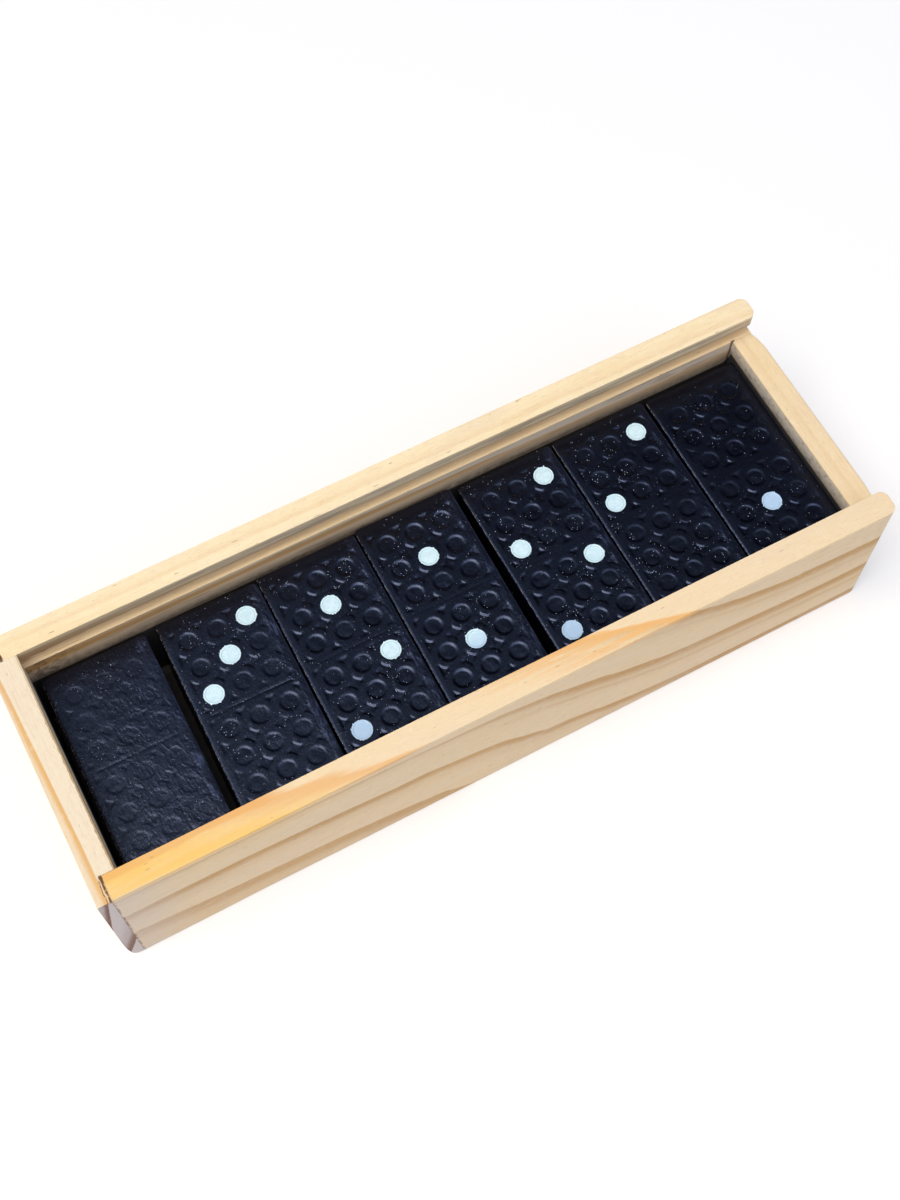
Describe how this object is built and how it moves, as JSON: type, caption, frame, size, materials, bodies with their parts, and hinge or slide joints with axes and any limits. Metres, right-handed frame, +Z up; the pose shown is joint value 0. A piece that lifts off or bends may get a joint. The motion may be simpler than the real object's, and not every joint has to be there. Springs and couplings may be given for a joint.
{
  "type": "domino storage box",
  "caption": "Open pine box with grooves for a sliding lid, holding a full set of embossed black dominoes with white pips, stacked in layers.",
  "frame": {"origin": "on the underside, at the middle of the well", "axes": "+X along the box towards its low end, where a lid slides in; +Y towards the back side board; +Z up"},
  "size_m": [0.154, 0.0514, 0.033],
  "materials": {
    "pine": "bare sanded pine, flat-sawn grain",
    "plywood": "bare thin plywood",
    "black_lacquer": "wooden tiles under satin black lacquer, embossed",
    "pip_paint": "matt bluish-white paint in the pip wells"
  },
  "bodies": {
    "box": {"side_board_front": "pine", "side_board_back": "pine", "end_board_tall": "pine", "end_board_low": "pine", "bottom_panel": "plywood"},
    "domino_6_6": {"domino_6_6": "black_lacquer"},
    "domino_6_5": {"domino_6_5": "black_lacquer"},
    "domino_5_5": {"domino_5_5": "black_lacquer"},
    "domino_6_4": {"domino_6_4": "black_lacquer"},
    "domino_5_4": {"domino_5_4": "black_lacquer"},
    "domino_4_4": {"domino_4_4": "black_lacquer"},
    "domino_6_3": {"domino_6_3": "black_lacquer"},
    "domino_5_3": {"domino_5_3": "black_lacquer"},
    "domino_4_3": {"domino_4_3": "black_lacquer"},
    "domino_3_3": {"domino_3_3": "black_lacquer"},
    "domino_6_2": {"domino_6_2": "black_lacquer"},
    "domino_5_2": {"domino_5_2": "black_lacquer"},
    "domino_4_2": {"domino_4_2": "black_lacquer"},
    "domino_3_2": {"domino_3_2": "black_lacquer"},
    "domino_6_1": {"domino_6_1": "black_lacquer"},
    "domino_5_1": {"domino_5_1": "black_lacquer"},
    "domino_4_1": {"domino_4_1": "black_lacquer"},
    "domino_3_1": {"domino_3_1": "black_lacquer"},
    "domino_6_0": {"domino_6_0": "black_lacquer"},
    "domino_5_0": {"domino_5_0": "black_lacquer"},
    "domino_4_0": {"domino_4_0": "black_lacquer"},
    "domino_0_0": {"domino_0_0": "black_lacquer"},
    "domino_3_0": {"domino_3_0": "black_lacquer"},
    "domino_2_1": {"domino_2_1": "black_lacquer"},
    "domino_1_1": {"domino_1_1": "black_lacquer"},
    "domino_2_2": {"domino_2_2": "black_lacquer"},
    "domino_2_0": {"domino_2_0": "black_lacquer"},
    "domino_1_0": {"domino_1_0": "black_lacquer"}
  },
  "joints": [
    {"name": "lift_domino_6_6", "type": "slide", "parent": "box", "child": "domino_6_6", "axis": [0, 0, 1], "range_m": [0, 0.035]},
    {"name": "lift_domino_5_3", "type": "slide", "parent": "domino_6_6", "child": "domino_5_3", "axis": [0, 0, 1], "range_m": [0, 0.03]},
    {"name": "lift_domino_6_1", "type": "slide", "parent": "domino_5_3", "child": "domino_6_1", "axis": [0, 0, 1], "range_m": [0, 0.025]},
    {"name": "lift_domino_0_0", "type": "slide", "parent": "domino_6_1", "child": "domino_0_0", "axis": [0, 0, 1], "range_m": [0, 0.02]},
    {"name": "lift_domino_6_5", "type": "slide", "parent": "box", "child": "domino_6_5", "axis": [0, 0, 1], "range_m": [0, 0.035]},
    {"name": "lift_domino_4_3", "type": "slide", "parent": "domino_6_5", "child": "domino_4_3", "axis": [0, 0, 1], "range_m": [0, 0.03]},
    {"name": "lift_domino_5_1", "type": "slide", "parent": "domino_4_3", "child": "domino_5_1", "axis": [0, 0, 1], "range_m": [0, 0.025]},
    {"name": "lift_domino_3_0", "type": "slide", "parent": "domino_5_1", "child": "domino_3_0", "axis": [0, 0, 1], "range_m": [0, 0.02]},
    {"name": "lift_domino_5_5", "type": "slide", "parent": "box", "child": "domino_5_5", "axis": [0, 0, 1], "range_m": [0, 0.035]},
    {"name": "lift_domino_3_3", "type": "slide", "parent": "domino_5_5", "child": "domino_3_3", "axis": [0, 0, 1], "range_m": [0, 0.03]},
    {"name": "lift_domino_4_1", "type": "slide", "parent": "domino_3_3", "child": "domino_4_1", "axis": [0, 0, 1], "range_m": [0, 0.025]},
    {"name": "lift_domino_2_1", "type": "slide", "parent": "domino_4_1", "child": "domino_2_1", "axis": [0, 0, 1], "range_m": [0, 0.02]},
    {"name": "lift_domino_6_4", "type": "slide", "parent": "box", "child": "domino_6_4", "axis": [0, 0, 1], "range_m": [0, 0.035]},
    {"name": "lift_domino_6_2", "type": "slide", "parent": "domino_6_4", "child": "domino_6_2", "axis": [0, 0, 1], "range_m": [0, 0.03]},
    {"name": "lift_domino_3_1", "type": "slide", "parent": "domino_6_2", "child": "domino_3_1", "axis": [0, 0, 1], "range_m": [0, 0.025]},
    {"name": "lift_domino_1_1", "type": "slide", "parent": "domino_3_1", "child": "domino_1_1", "axis": [0, 0, 1], "range_m": [0, 0.02]},
    {"name": "lift_domino_5_4", "type": "slide", "parent": "box", "child": "domino_5_4", "axis": [0, 0, 1], "range_m": [0, 0.035]},
    {"name": "lift_domino_5_2", "type": "slide", "parent": "domino_5_4", "child": "domino_5_2", "axis": [0, 0, 1], "range_m": [0, 0.03]},
    {"name": "lift_domino_6_0", "type": "slide", "parent": "domino_5_2", "child": "domino_6_0", "axis": [0, 0, 1], "range_m": [0, 0.025]},
    {"name": "lift_domino_2_2", "type": "slide", "parent": "domino_6_0", "child": "domino_2_2", "axis": [0, 0, 1], "range_m": [0, 0.02]},
    {"name": "lift_domino_4_4", "type": "slide", "parent": "box", "child": "domino_4_4", "axis": [0, 0, 1], "range_m": [0, 0.035]},
    {"name": "lift_domino_4_2", "type": "slide", "parent": "domino_4_4", "child": "domino_4_2", "axis": [0, 0, 1], "range_m": [0, 0.03]},
    {"name": "lift_domino_5_0", "type": "slide", "parent": "domino_4_2", "child": "domino_5_0", "axis": [0, 0, 1], "range_m": [0, 0.025]},
    {"name": "lift_domino_2_0", "type": "slide", "parent": "domino_5_0", "child": "domino_2_0", "axis": [0, 0, 1], "range_m": [0, 0.02]},
    {"name": "lift_domino_6_3", "type": "slide", "parent": "box", "child": "domino_6_3", "axis": [0, 0, 1], "range_m": [0, 0.035]},
    {"name": "lift_domino_3_2", "type": "slide", "parent": "domino_6_3", "child": "domino_3_2", "axis": [0, 0, 1], "range_m": [0, 0.03]},
    {"name": "lift_domino_4_0", "type": "slide", "parent": "domino_3_2", "child": "domino_4_0", "axis": [0, 0, 1], "range_m": [0, 0.025]},
    {"name": "lift_domino_1_0", "type": "slide", "parent": "domino_4_0", "child": "domino_1_0", "axis": [0, 0, 1], "range_m": [0, 0.02]}
  ]
}
